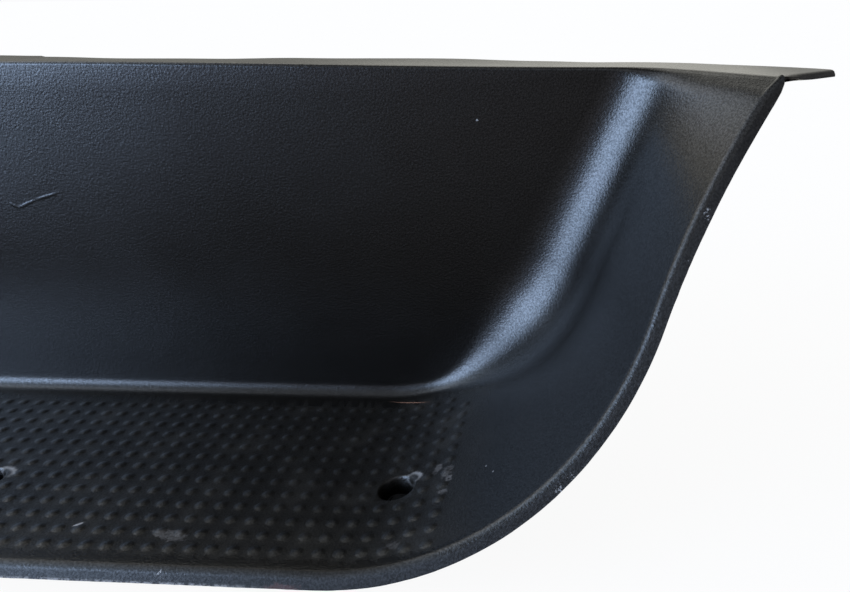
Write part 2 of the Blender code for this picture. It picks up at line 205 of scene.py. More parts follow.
def surface_point(share, row):
    """Seen face without its bumps; row runs 0 to 1 down the riser, to 2 round the fillet, to 3."""
    corner, inward, rim, radius = station(share)
    along = (rim - corner).normalized()
    half = inward.angle(along) / 2.0
    reach = radius / math.tan(half)
    if row < 1.0:
        return riser_top(share).lerp(corner + inward * reach, row)
    if row > 2.0:
        return (corner + along * reach).lerp(rim, row - 2.0)
    centre = corner + (inward + along).normalized() * (radius / math.sin(half))
    start = (corner + inward * reach - centre).normalized()
    end = (corner + along * reach - centre).normalized()
    return centre + start.slerp(end, row - 1.0) * radius


def share_at(x, row, share):
    """Share of the line that passes x at row, by Newton's method from a first guess."""
    step = 1e-5
    for _ in range(3):
        here = surface_point(share, row).x
        slope = (surface_point(share + step, row).x - here) / step
        share += (x - here) / slope
    return share


def parameters_at(x, y):
    """Share and row of the point above x and y, by halving the rows."""
    low, high = 1.0, 3.0
    share = x / BACK_FLAT
    for _ in range(24):
        row = (low + high) / 2.0
        share = share_at(x, row, share)
        if surface_point(share, row).y > y:
            low = row
        else:
            high = row
    return share, row


def tread_tree():
    """Fine mesh of the tread and the start of the sweep, for looking up heights."""
    shares = [-0.1 + 0.275 * step for step in range(5)] + [1.0 + 0.006 * step for step in range(1, 101)]
    rows = [1.0 + step / 48.0 for step in range(48)] + [2.0 + step / 8.0 for step in range(9)]
    points = [surface_point(share, row) for share in shares for row in rows]
    faces = []
    for column in range(len(shares) - 1):
        for row in range(len(rows) - 1):
            first = column * len(rows) + row
            faces.append((first, first + 1, first + len(rows) + 1, first + len(rows)))
    return BVHTree.FromPolygons(points, faces)


TREAD_TREE = tread_tree()


def tread_point(x, y):
    """Point of the tread above x and y, on either half."""
    down = Vector((0.0, 0.0, -1.0))
    hit = TREAD_TREE.ray_cast(Vector((abs(x), y, 0.2)), down)[0]
    if hit is None:
        hit = TREAD_TREE.ray_cast(Vector((abs(x) + 1e-6, y + 1e-6, 0.2)), down)[0]
    return Vector((x, y, hit.z))


def flange_warp(x):
    """Rise of the flange's free edge, eased between the named places."""
    distance = abs(x)
    side = 1.0 if x >= 0.0 else LEFT_WARP
    for (start, first), (end, second) in zip(FLANGE_WARP, FLANGE_WARP[1:]):
        if distance <= end:
            return side * (first + (second - first) * smooth_step(distance, start, end))
    return 0.0


def flange_bend(point):
    """Radius of the bend from wall to flange, which is wider along the end wall."""
    wider = smooth_step(point.x, TOP_END, TOP_END + WALL_BEND_GROWTH)
    return FLANGE_BEND + (WALL_BEND - FLANGE_BEND) * wider


def bend_start(point):
    """Angle of the wide bend at a point of the wall: 0 below the bend, more towards the flange."""
    radius = flange_bend(point)
    sunk = FLANGE_TOP - CROWN - point.z
    return math.asin(min(max(1.0 - sunk / radius, 0.0), 1.0))


def eased(points):
    """The points with those in the wide bend moved outwards to lie on it."""
    moved = []
    for index, point in enumerate(points):
        before = points[max(index - 1, 0)]
        after = points[min(index + 1, len(points) - 1)]
        outward = Vector((before.y - after.y, after.x - before.x, 0.0))
        shift = flange_bend(point) * (1.0 - math.cos(bend_start(point)))
        if outward.length < 1e-7 or point.x < TOP_END:
            shift = 0.0
        moved.append(point + outward.normalized() * shift)
    return moved


def edge_noise(point):
    """Unevenness of a trimmed edge, from minus one to one."""
    slow, fine = EDGE_WAVES
    return 0.6 * noise.noise(point * slow) + 0.4 * noise.noise(point * fine)


# ---------------- the shell's fine mesh
# What the material asks about a point, each from 0 to 1: on a bump, on the lip, on the field of bumps,
# near a free edge, in a dish.
LOOK_MARKS = ("crest", "lip", "field", "edge", "dish")


class Sheet:
    """Seen face of the shell: points without bumps, with marks for the bumps' lift and for the looks."""

    def __init__(self):
        self.bm = bmesh.new()
        floats = self.bm.verts.layers.float
        self.marks = {name: floats.new(name) for name in ("lift", "thin", *LOOK_MARKS)}
        self.lattice = {}

    def add(self, point, side=1.0, **marks):
        vert = self.bm.verts.new((point.x * side, point.y, point.z))
        for name, value in marks.items():
            vert[self.marks[name]] = value
        return vert

    def on_lattice(self, column, row):
        key = (column, row)
        if key not in self.lattice:
            point = tread_point(LATTICE * column, FIELD_BACK - LATTICE * row)
            self.lattice[key] = self.add(point, field=1.0)
        return self.lattice[key]

    def face(self, verts, side=1.0):
        self.bm.faces.new(verts if side > 0.0 else tuple(reversed(verts)))

    def columns(self, left, right, side):
        """Faces between two columns of points that run downwards."""
        for row in range(len(left) - 1):
            self.face((left[row], left[row + 1], right[row + 1], right[row]), side)

    def rings(self, outer, inner):
        """Faces between two closed rings of as many points, both anticlockwise."""
        for index in range(len(outer)):
            after = (index + 1) % len(outer)
            self.face((outer[index], outer[after], inner[after], inner[index]))


def square_loop(half):
    """Offsets round a square in mesh lines, anticlockwise from the middle of its +x side."""
    side = [(half, step) for step in range(-half, half)]
    loop = []
    for _ in range(4):
        loop += side
        side = [(-y, x) for x, y in side]
    return loop[half:] + loop[:half]


def ring_points(column, row, radius, count):
    x = LATTICE * column
    y = FIELD_BACK - LATTICE * row
    for index in range(count):
        angle = 2.0 * math.pi * index / count
        yield tread_point(x + radius * math.cos(angle), y + radius * math.sin(angle))


def add_bump(sheet, column, row, height, wear):
    """One dome in its square of the lattice."""
    outer = [sheet.on_lattice(column + x, row - y) for x, y in square_loop(BUMP_HALF)]
    for radius, share in BUMP_RINGS:
        inner = [sheet.add(point, lift=height * share, crest=wear * share, field=1.0)
                 for point in ring_points(column, row, radius, len(outer))]
        sheet.rings(outer, inner)
        outer = inner
    top = tread_point(LATTICE * column, FIELD_BACK - LATTICE * row)
    centre = sheet.add(top, lift=height, crest=wear, field=1.0)
    for index in range(len(outer)):
        sheet.face((outer[index], outer[(index + 1) % len(outer)], centre))


def add_dish(sheet, column, row):
    """The dished rivet hole, which interrupts the bumps."""
    outer = [sheet.on_lattice(column + x, row - y) for x, y in square_loop(DISH_HALF)]
    for radius, sunk in DISH_RINGS:
        inner = []
        for point in ring_points(column, row, radius, len(outer)):
            point.z = point.z * (1.0 - sunk) - DISH_DEPTH * sunk
            inner.append(sheet.add(point, field=1.0 - sunk, dish=sunk))
        sheet.rings(outer, inner)
        outer = inner


def add_field(sheet):
    """Bumps in a square grid over the tread, except round the three dishes."""
    draw = random.Random(7)
    dish_row = round((FIELD_BACK - RIVET_Y) / LATTICE)
    dish_columns = [round(x / LATTICE) for x in (-RIVET_X, 0.0, RIVET_X)]
    pitch = 2 * BUMP_HALF
    for column in range(BUMP_HALF - FIELD_COLUMNS, FIELD_COLUMNS, pitch):
        for row in range(BUMP_HALF, FIELD_ROWS, pitch):
            height = BUMP_HEIGHT * draw.uniform(*BUMP_SPREAD)
            wear = draw.uniform(*WEAR_SPREAD)
            near = min(abs(column - dish) for dish in dish_columns)
            in_corner = row == BUMP_HALF and abs(column) == FIELD_COLUMNS - BUMP_HALF
            if max(near, abs(row - dish_row)) >= DISH_HALF and not in_corner:
                add_bump(sheet, column, row, height, wear)
            elif in_corner:
                add_bump(sheet, column, row, 0.0, 0.0)
    for column in dish_columns:
        add_dish(sheet, column, dish_row)


def lip_rows(share):
    """The lip after the rim: a rounded turn to the outside and a face, with a rounded end."""
    corner, inward, rim, _ = station(share)
    along = (rim - corner).normalized()
    outward = -(inward - along * inward.dot(along)).normalized()
    upward = (rim - station(share - 0.01)[2]).normalized()
    face = along * math.cos(LIP_TURN) + outward * math.sin(LIP_TURN)
    width = LIP_BEND * LIP_TURN + LIP_FACE
    growth = smooth_step(share, 3.0 - LIP_END_LENGTH, 3.0)
    rows = []
    for step in range(1, BEND_ROWS + LIP_FACE_ROWS + 1):
        angle = LIP_TURN * min(step / BEND_ROWS, 1.0)
        beyond = LIP_FACE * max(step - BEND_ROWS, 0) / LIP_FACE_ROWS
        across = LIP_BEND * angle + beyond
        point = rim + along * (LIP_BEND * math.sin(angle))
        point = point + outward * (LIP_BEND * (1.0 - math.cos(angle))) + face * beyond
        if step == BEND_ROWS + LIP_FACE_ROWS:
            point = point + face * (EDGE_ROUGHNESS * edge_noise(point))
        aside = across / width - LIP_END_APEX
        aside /= LIP_END_APEX if aside < 0.0 else 1.0 - LIP_END_APEX
        cap = LIP_END_RISE * width / 2.0 * math.sqrt(max(1.0 - abs(aside) ** LIP_END_SQUARENESS, 0.0))
        cap -= LIP_END_DROP * max(aside, 0.0) ** 2
        lip = min(1.0, across / (LIP_BEND * LIP_TURN))
        rows.append((point + upward * (cap * growth), lip, max(beyond / LIP_FACE - 0.5, 0.0) * 2.0))
    return rows


def upper_rows(last):
    riser = [step / RISER_ROWS for step in range(RISER_ROWS)]
    fillet = [1.0 + (last - 1.0) * step / FILLET_ROWS for step in range(FILLET_ROWS + 1)]
    return riser + fillet


def add_columns(sheet, side):
    """Riser, front edge and end wall of one half, round the field of bumps.

    Returns the top edge and the free end of the lip.
    """
    edge_rows = []
    for row in range(FIELD_ROWS + 1):
        edge_rows.append(parameters_at(LATTICE * FIELD_COLUMNS, FIELD_BACK - LATTICE * row))
    top = []
    before = None
    # each column of points runs down the riser, through the fillet and the tread, and over the lip
    for column in range(FIELD_COLUMNS + SWEEP_COLUMNS + WALL_COLUMNS + 1):
        beyond = column - FIELD_COLUMNS
        if beyond <= 0:
            x = LATTICE * column
            back = parameters_at(x, FIELD_BACK)
            front = parameters_at(x, FIELD_FRONT)
            middle = []
            if beyond == 0:
                middle = [tread_point(x, FIELD_BACK - LATTICE * row) for row in range(1, FIELD_ROWS)]
        else:
            onward = [(moved_share(share, beyond), row) for share, row in edge_rows]
            back, front = onward[0], onward[-1]
        upper = [surface_point(back[0], row) for row in upper_rows(back[1])]
        step = (3.0 - front[1]) / FRONT_ROWS
        lower = [surface_point(front[0], front[1] + step * count) for count in range(FRONT_ROWS + 1)]
        if beyond <= 0:
            upper[-1] = tread_point(x, FIELD_BACK)
            lower[0] = tread_point(x, FIELD_FRONT)
        else:
            middle = [surface_point(*place) for place in onward[1:-1]]
        line = upper + middle + lower
        curved = eased(line)
        shift = curved[-1] - line[-1]
        fade = 1.0 - smooth_step(beyond, 0, FIELD_FADE)
        verts = [sheet.add(point, side) for point in curved]
        field_end = len(upper) + len(middle)
        verts_up, middle, verts_down = verts[:len(upper)], verts[len(upper):field_end], verts[field_end:]
        for vert in middle:
            vert[sheet.marks["field"]] = fade
        for point, lip, rim_edge in lip_rows(front[0]):
            verts_down.append(sheet.add(point + shift * (1.0 - lip), side, lip=lip, edge=rim_edge))
        after = (verts_up, middle, verts_down)
        if before is not None:
            sheet.columns(before[0], after[0], side)
            sheet.columns(before[2], after[2], side)
            if before[1]:
                sheet.columns([before[0][-1]] + before[1] + [before[2][0]],
                              [after[0][-1]] + after[1] + [after[2][0]], side)
        before = after
        top.append((line[0], curved[0]))
    lip_end = before[2][FRONT_ROWS:]
    end_wall_top = list(zip(line, curved))[RISER_ROWS + 1:]
    return top + end_wall_top, lip_end


def moved_share(share, beyond):
    """Share of a line that many columns beyond the field: first the sweep, then the end wall."""
    if beyond <= SWEEP_COLUMNS:
        return share + (2.0 - share) * beyond / SWEEP_COLUMNS
    return 2.0 + (beyond - SWEEP_COLUMNS) / WALL_COLUMNS


def rounded_off(distance, length, depth):
    """How far a rounded end of this length and depth lies inside its square corner."""
    share = 1.0 - min(distance / length, 1.0)
    return depth * (1.0 - math.sqrt(1.0 - share * share))


def add_flange(sheet, pairs, lip_end, side):
    """Turn the top edge of the riser and of the end wall out into the thin, slightly warped flange."""
    edge = [plain for plain, curved in pairs]
    lengths = [0.0]
    for first, second in zip(edge, edge[1:]):
        lengths.append(lengths[-1] + (second - first).length)
    before = None
    for index, (point, curved) in enumerate(pairs):
        tangent = edge[min(index + 1, len(edge) - 1)] - edge[max(index - 1, 0)]
        outward = Vector((-tangent.y, tangent.x, 0.0)).normalized()
        wider = smooth_step(lengths[index], lengths[-1] - FLANGE_WIDENING, lengths[-1])
        outward.rotate(Euler((0.0, 0.0, -FLANGE_TURN * wider)))
        width = FLANGE_BACK + (FLANGE_END - FLANGE_BACK) * wider
        width += EDGE_ROUGHNESS * 2.0 * edge_noise(point)
        to_front = lengths[-1] - lengths[index]
        width -= rounded_off(to_front, *FLANGE_CORNER)
        sunk = rounded_off(to_front, FLANGE_ROUND, FLANGE_ROUND)
        thin = FLANGE_TAPER[1] * smooth_step(to_front, FLANGE_TAPER[0], 0.0)
        strip = [sheet.add(curved, side)]
        radius = flange_bend(point)
        start = bend_start(point) if radius > FLANGE_BEND else 0.0
        for step in range(1, BEND_ROWS + 1):
            angle = start + (math.pi / 2.0 - start) * step / BEND_ROWS
            bend = outward * (radius * (1.0 - math.cos(angle)))
            rise = Vector((0.0, 0.0, radius * (math.sin(angle) - math.sin(start))))
            strip.append(sheet.add(point + bend + rise, side))
        for step in range(1, FLANGE_ROWS + 1):
            share = step / FLANGE_ROWS
            reach = radius + (width - radius) * share
            flat = point + outward * reach
            flat.z += radius * (1.0 - math.sin(start)) - sunk * smooth_step(share, 0.0, 0.5)
            flat.z += flange_warp(flat.x * side) * share * share
            strip.append(sheet.add(flat, side, edge=share, thin=thin * share))
        if before is not None:
            join_strips(sheet, before, strip, side)
        before = strip
    for row in range(BEND_ROWS):
        sheet.face((lip_end[row], lip_end[row + 1], before[row + 1], before[row]), side)


def join_strips(sheet, before, after, side):
    for row in range(len(after) - 1):
        sheet.face((before[row], after[row], after[row + 1], before[row + 1]), side)


def thickened(sheet, name):
    """Closed mesh of the sheet: bumps on the seen face, a plain hidden face and the edges between."""
    bm = sheet.bm
    bm.normal_update()
    bm.verts.index_update()
    lift = sheet.marks["lift"]
    seen = [vert.co + vert.normal * vert[lift] for vert in bm.verts]
    thin = sheet.marks["thin"]
    hidden = [vert.co - vert.normal * (SHEET * (1.0 - vert[thin])) for vert in bm.verts]
    count = len(seen)
    faces = [[vert.index for vert in face.verts] for face in bm.faces]
    faces += [[index + count for index in reversed(face)] for face in faces]
    for edge in bm.edges:
        if edge.is_boundary:
            loop = edge.link_loops[0]
            first = loop.vert.index
            second = loop.link_loop_next.vert.index
            faces.append([second, first, first + count, second + count])
    mesh = bpy.data.meshes.new(name)
    mesh.from_pydata(seen + hidden, [], faces)
    for mark in LOOK_MARKS:
        values = [vert[sheet.marks[mark]] for vert in bm.verts]
        attribute = mesh.attributes.new(mark, "FLOAT", "POINT")
        attribute.data.foreach_set("value", values + [0.0] * count)
    bm.free()
    mesh.update()
    return mesh


def build_shell(material):
    sheet = Sheet()
    add_field(sheet)
    for side in (1.0, -1.0):
        edge, lip_end = add_columns(sheet, side)
        add_flange(sheet, edge, lip_end, side)
    bmesh.ops.remove_doubles(sheet.bm, verts=sheet.bm.verts, dist=WELD)
    bmesh.ops.dissolve_degenerate(sheet.bm, edges=sheet.bm.edges, dist=WELD)
    shell = link("moulded_shell", thickened(sheet, "moulded_shell"), material)
    shell.location = CORNER
    rounding = shell.modifiers.new("rounded edges", "BEVEL")
    rounding.width = EDGE_ROUND
    rounding.segments = 3
    rounding.limit_method = "ANGLE"
    rounding.angle_limit = math.radians(62.0)
    shade(shell, 55.0)
    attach(shell, "trim")
    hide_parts("step_shell")
    return shell


# ---------------- foam pads and seals
PAD_ROUND = 0.0014            # rounding of the cut edges
TREAD_PAD_ROUND = 0.0016
FRONT_SEAL_ROUND = 0.0030
PAD_SPACING = 0.005           # spacing of the mesh lines
SEAL_SPACING = 0.006
SHORT_SEAL_SPACING = 0.004
FOAM_UNEVENNESS = 0.10        # share of the way to the heart by which the cut skin sinks in
FOAM_WAVES = 90.0             # unevenness of the skin, in waves to the metre
# Each pair: painted shade for the hollows of the cut cells, then the skin's own colour.
PAD_COLOURS = ((0.012, 0.012, 0.013), (0.040, 0.040, 0.044))    # in the cut cells, and on the skin
SEAL_COLOURS = ((0.045, 0.046, 0.050), (0.115, 0.118, 0.125))
GLUED_ABOVE = (2, 1)          # axis and sign of the side that carries the adhesive tape
GLUED_IN_FRONT = (1, -1)


def steps_between(low, high, radius, spacing):
    """Places of mesh lines from low to high: close together in the rounded ends, even between."""
    ends = [radius * share for share in (0.0, 0.12, 0.35, 0.65, 1.0)]
    length = high - low - 2.0 * radius
    count = max(int(length / spacing), 1)
    inner = [low + radius + length * step / count for step in range(1, count)]
    return [low + end for end in ends] + inner + [high - end for end in reversed(ends)]


def cushion(name, low, high, radius, spacing, glued, bend=None):
    """A die-cut foam piece: rounded by radius except on its flat glued side, slightly uneven.

    glued is the axis and the sign of the side that carries the adhesive tape.
    """
    axis, sign = glued
    lines = [steps_between(low[i], high[i], radius, spacing) for i in range(3)]
    bm = bmesh.new()
    verts = {}

    def vert(place):
        if place not in verts:
            point = Vector([lines[i][place[i]] for i in range(3)])
            heart = Vector([min(max(point[i], low[i] + radius), high[i] - radius) for i in range(3)])
            if sign * (point[axis] - (low[axis] + high[axis]) / 2.0) > 0.0:
                heart[axis] = point[axis]
            offset = point - heart
            if offset.length > radius:
                point = heart + offset.normalized() * radius
            point -= offset * (FOAM_UNEVENNESS * (noise.noise(point * FOAM_WAVES) + 1.0))
            if bend is not None:
                point.z -= bend(point.x)
            verts[place] = bm.verts.new(point)
        return verts[place]

    for flat in range(3):
        first, second = (flat + 1) % 3, (flat + 2) % 3
        for end in (0, len(lines[flat]) - 1):
            for a in range(len(lines[first]) - 1):
                for b in range(len(lines[second]) - 1):
                    corners = []
                    for da, db in ((0, 0), (1, 0), (1, 1), (0, 1)):
                        place = [0, 0, 0]
                        place[flat], place[first], place[second] = end, a + da, b + db
                        corners.append(vert(tuple(place)))
                    if end == 0:
                        corners.reverse()
                    bm.faces.new(corners)
    mesh = bpy.data.meshes.new(name)
    bm.to_mesh(mesh)
    bm.free()
    return mesh


def foam_piece(node, mesh, material):
    piece = link(node + "_foam", mesh, material)
    shade(piece, 50.0)
    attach(piece, "trim")
    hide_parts(node)
    return piece


def build_foam():
    """Support pads and seals, each in place of the plain block of the same name."""
    pad_look = foam("pad_foam", *PAD_COLOURS, 900.0)
    seal_look = foam("seal_foam", *SEAL_COLOURS, 1300.0)
    for side in ("left", "centre", "right"):
        if side != "centre":
            node = "tread_support_pad_" + side
            mesh = cushion(node, *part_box(node), TREAD_PAD_ROUND, SEAL_SPACING, GLUED_ABOVE)
            foam_piece(node, mesh, pad_look)
        node = "riser_pad_" + side
        mesh = cushion(node, *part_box(node), PAD_ROUND, PAD_SPACING, GLUED_IN_FRONT)
        foam_piece(node, mesh, pad_look)
    node = "front_edge_seal"
    mesh = cushion(node, *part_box(node), FRONT_SEAL_ROUND, SEAL_SPACING, GLUED_ABOVE)
    foam_piece(node, mesh, seal_look)
    node = "flange_seal_back"
    low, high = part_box(node)
    low = Vector((low.x, low.y, high.z - SEAL_HEIGHT))
    mesh = cushion(node, low, high, PAD_ROUND, SEAL_SPACING, GLUED_ABOVE, crown_drop)
    foam_piece(node, mesh, seal_look)
    corner, _, rim, _ = station(3.0)
    turn = math.atan2(rim.y - corner.y, rim.x - corner.x)
    half = Vector((SEAL_LENGTH, SEAL_WIDTH, SEAL_HEIGHT)) / 2.0
    for side, sign in (("left", -1.0), ("right", 1.0)):
        node = "flange_seal_" + side
        low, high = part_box(node)
        mesh = cushion(node, -half, half, PAD_ROUND, SHORT_SEAL_SPACING, GLUED_ABOVE)
        piece = foam_piece(node, mesh, seal_look)
        piece.location = (low + high) / 2.0
        piece.rotation_euler = (0.0, 0.0, sign * turn)


# ---------------- scene helpers
def link(name, mesh, material=None):
    obj = bpy.data.objects.new(name, mesh)
    bpy.context.scene.collection.objects.link(obj)
    if material is not None:
        mesh.materials.append(material)
    return obj


def shade(obj, angle):
    obj.data.shade_smooth()
    obj.data.set_sharp_from_angle(angle=math.radians(angle))


# ---------------- material graphs
WOBBLE_SCALE = 420.0          # waves to the metre that make the outlines of marks ragged


class Graph:
    """A node tree with short calls for the nodes that the looks share; place is where a ray hits."""

    def __init__(self, tree, space):
        self.tree = tree
        self.place = self.node("TexCoord").outputs[space]
        self.wobble = None

    def node(self, kind, **settings):
        made = self.tree.nodes.new("ShaderNode" + kind)
        for name, value in settings.items():
            setattr(made, name, value)
        return made

    def feed(self, socket, value):
        if isinstance(value, bpy.types.NodeSocket):
            self.tree.links.new(value, socket)
        elif isinstance(value, tuple) and socket.type == "RGBA":
            socket.default_value = (*value, 1.0)
        else:
            socket.default_value = value

    def towards(self, direction):
        """Cosine between the place, taken as a direction, and another direction."""
        made = self.node("VectorMath", operation="DOT_PRODUCT")
        self.feed(made.inputs[0], self.place)
        self.feed(made.inputs[1], tuple(Vector(direction).normalized()))
        return made.outputs["Value"]

    def math(self, operation, first, second=0.0):
        made = self.node("Math", operation=operation)
        self.feed(made.inputs[0], first)
        self.feed(made.inputs[1], second)
        return made.outputs[0]

    def times(self, first, second):
        return self.math("MULTIPLY", first, second)

    def mark(self, name):
        return self.node("Attribute", attribute_name=name).outputs["Fac"]

    def noise(self, scale, detail=2.0, stretch=None, seed=0.0, roughness=0.5):
        """Noise with this many waves to the metre; stretch scales the axes of the place."""
        made = self.node("TexNoise", noise_dimensions="4D")
        self.feed(made.inputs["Vector"], self.scaled(stretch) if stretch else self.place)
        self.feed(made.inputs["W"], seed)
        self.feed(made.inputs["Scale"], scale)
        self.feed(made.inputs["Detail"], detail)
        self.feed(made.inputs["Roughness"], roughness)
        return made.outputs["Fac"]

    def cells(self, scale):
        made = self.node("TexVoronoi")
        self.feed(made.inputs["Vector"], self.place)
        self.feed(made.inputs["Scale"], scale)
        return made.outputs["Distance"]

    def scaled(self, factors):
        made = self.node("VectorMath", operation="MULTIPLY")
        self.feed(made.inputs[0], self.place)
        self.feed(made.inputs[1], factors)
        return made.outputs[0]

    def ramp(self, value, low, high, start=0.0, end=1.0):
        """Smooth ramp of value from low to high."""
        made = self.node("MapRange", interpolation_type="SMOOTHSTEP")
        for name, content in (("Value", value), ("From Min", low), ("From Max", high),
                              ("To Min", start), ("To Max", end)):
            self.feed(made.inputs[name], content)
        return made.outputs["Result"]

    def mix(self, share, first, second, blend="MIX"):
        """Colour mix of first and second."""
        made = self.node("Mix", data_type="RGBA", blend_type=blend)
        sockets = [socket for socket in made.inputs if socket.enabled]
        for socket, value in zip(sockets, (share, first, second)):
            self.feed(socket, value)
        return [socket for socket in made.outputs if socket.enabled][0]

    def bump(self, height, distance, strength=1.0, normal=None):
        made = self.node("Bump")
        self.feed(made.inputs["Height"], height)
        self.feed(made.inputs["Distance"], distance)
        self.feed(made.inputs["Strength"], strength)
        if normal is not None:
            self.feed(made.inputs["Normal"], normal)
        return made.outputs["Normal"]

    def patch(self, centre, size, turn=0.0, ragged=0.35):
        """Soft-edged blotch: 1 inside an ellipsoid of half sizes size at centre, ragged by noise."""
        if self.wobble is None:
            self.wobble = self.noise(WOBBLE_SCALE, 4.0, seed=11.0, roughness=0.65)
        made = self.node("Mapping", vector_type="TEXTURE")
        self.feed(made.inputs["Vector"], self.place)
        self.feed(made.inputs["Location"], centre)
        self.feed(made.inputs["Rotation"], (0.0, 0.0, turn))
        self.feed(made.inputs["Scale"], size)
        length = self.node("VectorMath", operation="LENGTH")
        self.feed(length.inputs[0], made.outputs["Vector"])
        wobble = self.times(self.wobble, 4.0 * ragged)
        spread = self.math("ADD", length.outputs["Value"], wobble)
        return self.ramp(spread, 1.0 + 2.0 * ragged, 0.5 + 2.0 * ragged)

    def most(self, values):
        """Greatest of several values."""
        total = values[0]
        for value in values[1:]:
            total = self.math("MAXIMUM", total, value)
        return total


class MaterialGraph(Graph):
    """The node tree of a new material, in the object's own coordinates."""

    def __init__(self, name):
        self.material = bpy.data.materials.new(name)
        self.material.use_nodes = True
        super().__init__(self.material.node_tree, "Object")
        self.shader = self.tree.nodes["Principled BSDF"]

    def finish(self, colour, roughness, normal=None, specular=0.5):
        self.feed(self.shader.inputs["Base Color"], colour)
        self.feed(self.shader.inputs["Roughness"], roughness)
        self.feed(self.shader.inputs["Specular IOR Level"], specular)
        if normal is not None:
            self.feed(self.shader.inputs["Normal"], normal)
        return self.material


# Marks of use on the moulding: centre, half sizes, turn about the vertical, and strength.
PALE_SCUFFS = (
    ((0.1209, -0.1320, 0.0), (0.0105, 0.0040, 0.004), -0.25, 0.9),
    ((0.2283, -0.1375, 0.0035), (0.0045, 0.0028, 0.006), 0.30, 0.5),
    ((0.2395, -0.0850, 0.0085), (0.0024, 0.0050, 0.006), -0.20, 0.8),
    ((0.2454, -0.0900, 0.0099), (0.0034, 0.0062, 0.006), -0.25, 0.6),
    ((0.2475, -0.0960, 0.0104), (0.0022, 0.0028, 0.006), -0.20, 0.9),
    ((0.2460, -0.1055, 0.0104), (0.0030, 0.0024, 0.006), -0.20, 0.7),
    ((-0.2390, -0.0980, 0.0085), (0.0030, 0.0060, 0.006), 0.40, 0.7),
    ((-0.1380, -0.1290, 0.0), (0.0070, 0.0034, 0.004), 0.30, 0.7),
    ((-0.0620, -0.1180, 0.0), (0.0030, 0.0024, 0.004), 0.10, 0.8),
)
SPECKS = (
    ((0.2545, 0.0, 0.1710), (0.0008, 0.0020, 0.0008), 0.0, 0.9),
    ((0.2667, -0.0975, 0.0194), (0.0006, 0.0006, 0.002), 0.0, 0.5),
    ((0.2711, -0.1042, 0.0215), (0.0005, 0.0007, 0.002), 0.3, 0.5),
    ((0.0731, -0.1270, 0.0), (0.0029, 0.0010, 0.004), 0.65, 1.0),
)
LIP_CHIPS = (
    ((0.3047, -0.1350, 0.0355), (0.0030, 0.0030, 0.0040), 0.0, 0.9),
    ((0.3094, -0.1323, 0.0405), (0.0020, 0.0020, 0.0028), 0.0, 0.8),
    ((0.3672, -0.0782, 0.1437), (0.0020, 0.0030, 0.0045), 0.0, 0.9),
    ((0.3990, -0.0560, 0.1860), (0.0040, 0.0040, 0.0090), 0.0, 0.6),
    ((0.1285, -0.1544, -0.0024), (0.0030, 0.0030, 0.0024), 0.0, 1.0),
    ((-0.3360, -0.1130, 0.0780), (0.0030, 0.0030, 0.0050), 0.0, 1.0),
)
PALE_EDGE = (0.015, 0.045, 0.150, 0.185)   # where along the front edge its rim is scuffed pale
SCRATCH = ((0.2066, -0.0117, 0.0028), (0.0170, 0.00075, 0.004), -0.218)
BURR = ((0.1835, -0.1562, -0.0054), (0.0095, 0.0030, 0.0022), 0.0)
DARK_MARK = ((0.2592, -0.0103, 0.0385), (0.0005, 0.0030, 0.0040), 0.0)
SMUDGE = ((0.0000, 0.0, 0.1600), (0.0240, 0.0100, 0.0230), 0.0)
# Painted glints on the far rims of two dishes, each a blotch with a second one taken away from it.
PAINTED_DISH_GLINTS = (
    ((0.2275, -0.0880, 0.0043), (0.0056, 0.0050, 0.006), 0.3, (0.2262, -0.0893, 0.0043), 0.75),
    ((0.0072, -0.0890, 0.0), (0.0075, 0.0050, 0.006), -0.5, (0.0062, -0.0903, 0.0), 1.0),
)
# The crease in the riser, as places across and above the corner.
CREASE = ((-0.0218, 0.1225), (-0.0178, 0.1195), (-0.0060, 0.1244), (0.0085, 0.1287))
CREASE_WIDTH = 0.0011


# Colours of the plastic and of what has happened to it, with the painted shade of the dishes and the
# painted glints on their rims.
PLASTIC_DARK = (0.0015, 0.0012, 0.0009)
PLASTIC_LIGHT = (0.0024, 0.0020, 0.0016)
DUST = (0.056, 0.051, 0.044)
WORN_BUMP = (0.074, 0.068, 0.060)
DULL_LIP = (0.0055, 0.0052, 0.0058)
CHIPPED = (0.30, 0.285, 0.28)
SCUFFED = (0.072, 0.066, 0.063)
PALE_SPECK_AND_GLINT = (0.26, 0.25, 0.245)
RUSTY = (0.185, 0.095, 0.062)
TORN = (0.055, 0.026, 0.024)
BLACK = (0.001, 0.001, 0.001)
SMUDGED = (0.0040, 0.0034, 0.0020)
PAINTED_DISH_SHADE = (0.0012, 0.0011, 0.0010)


def riser_crease(g):
    """Narrow band along the crease: 1 on its line, 0 beside it."""
    bands = []
    for (x0, z0), (x1, z1) in zip(CREASE, CREASE[1:]):
        half = math.hypot(x1 - x0, z1 - z0) / 2.0
        made = g.node("Mapping", vector_type="TEXTURE")
        g.feed(made.inputs["Vector"], g.place)
        g.feed(made.inputs["Location"], ((x0 + x1) / 2.0, 0.0, (z0 + z1) / 2.0))
        g.feed(made.inputs["Rotation"], (0.0, -math.atan2(z1 - z0, x1 - x0), 0.0))
        g.feed(made.inputs["Scale"], (half * 1.25, 0.01, CREASE_WIDTH))
        length = g.node("VectorMath", operation="LENGTH")
        g.feed(length.inputs[0], made.outputs["Vector"])
        bands.append(g.ramp(length.outputs["Value"], 1.2, 0.2))
    return g.most(bands)


def worn_colour(g, field, crest):
    """The plastic with dust in the field and pale worn tops on the bumps."""
    colour = g.mix(g.noise(9.0, 3.0), PLASTIC_DARK, PLASTIC_LIGHT)
    dust = g.times(g.ramp(g.noise(45.0, 4.0, seed=2.0), 0.45, 0.75), 0.14)
    dust = g.times(g.math("ADD", dust, 0.07), g.math("ADD", field, 0.12))
    colour = g.mix(dust, colour, DUST)
    uneven = g.ramp(g.noise(70.0, 3.0, seed=12.0), 0.35, 0.70, 0.35, 1.0)
    worn = g.times(g.ramp(crest, 0.30, 1.0), uneven)
    return g.mix(g.times(worn, 0.22), colour, WORN_BUMP)


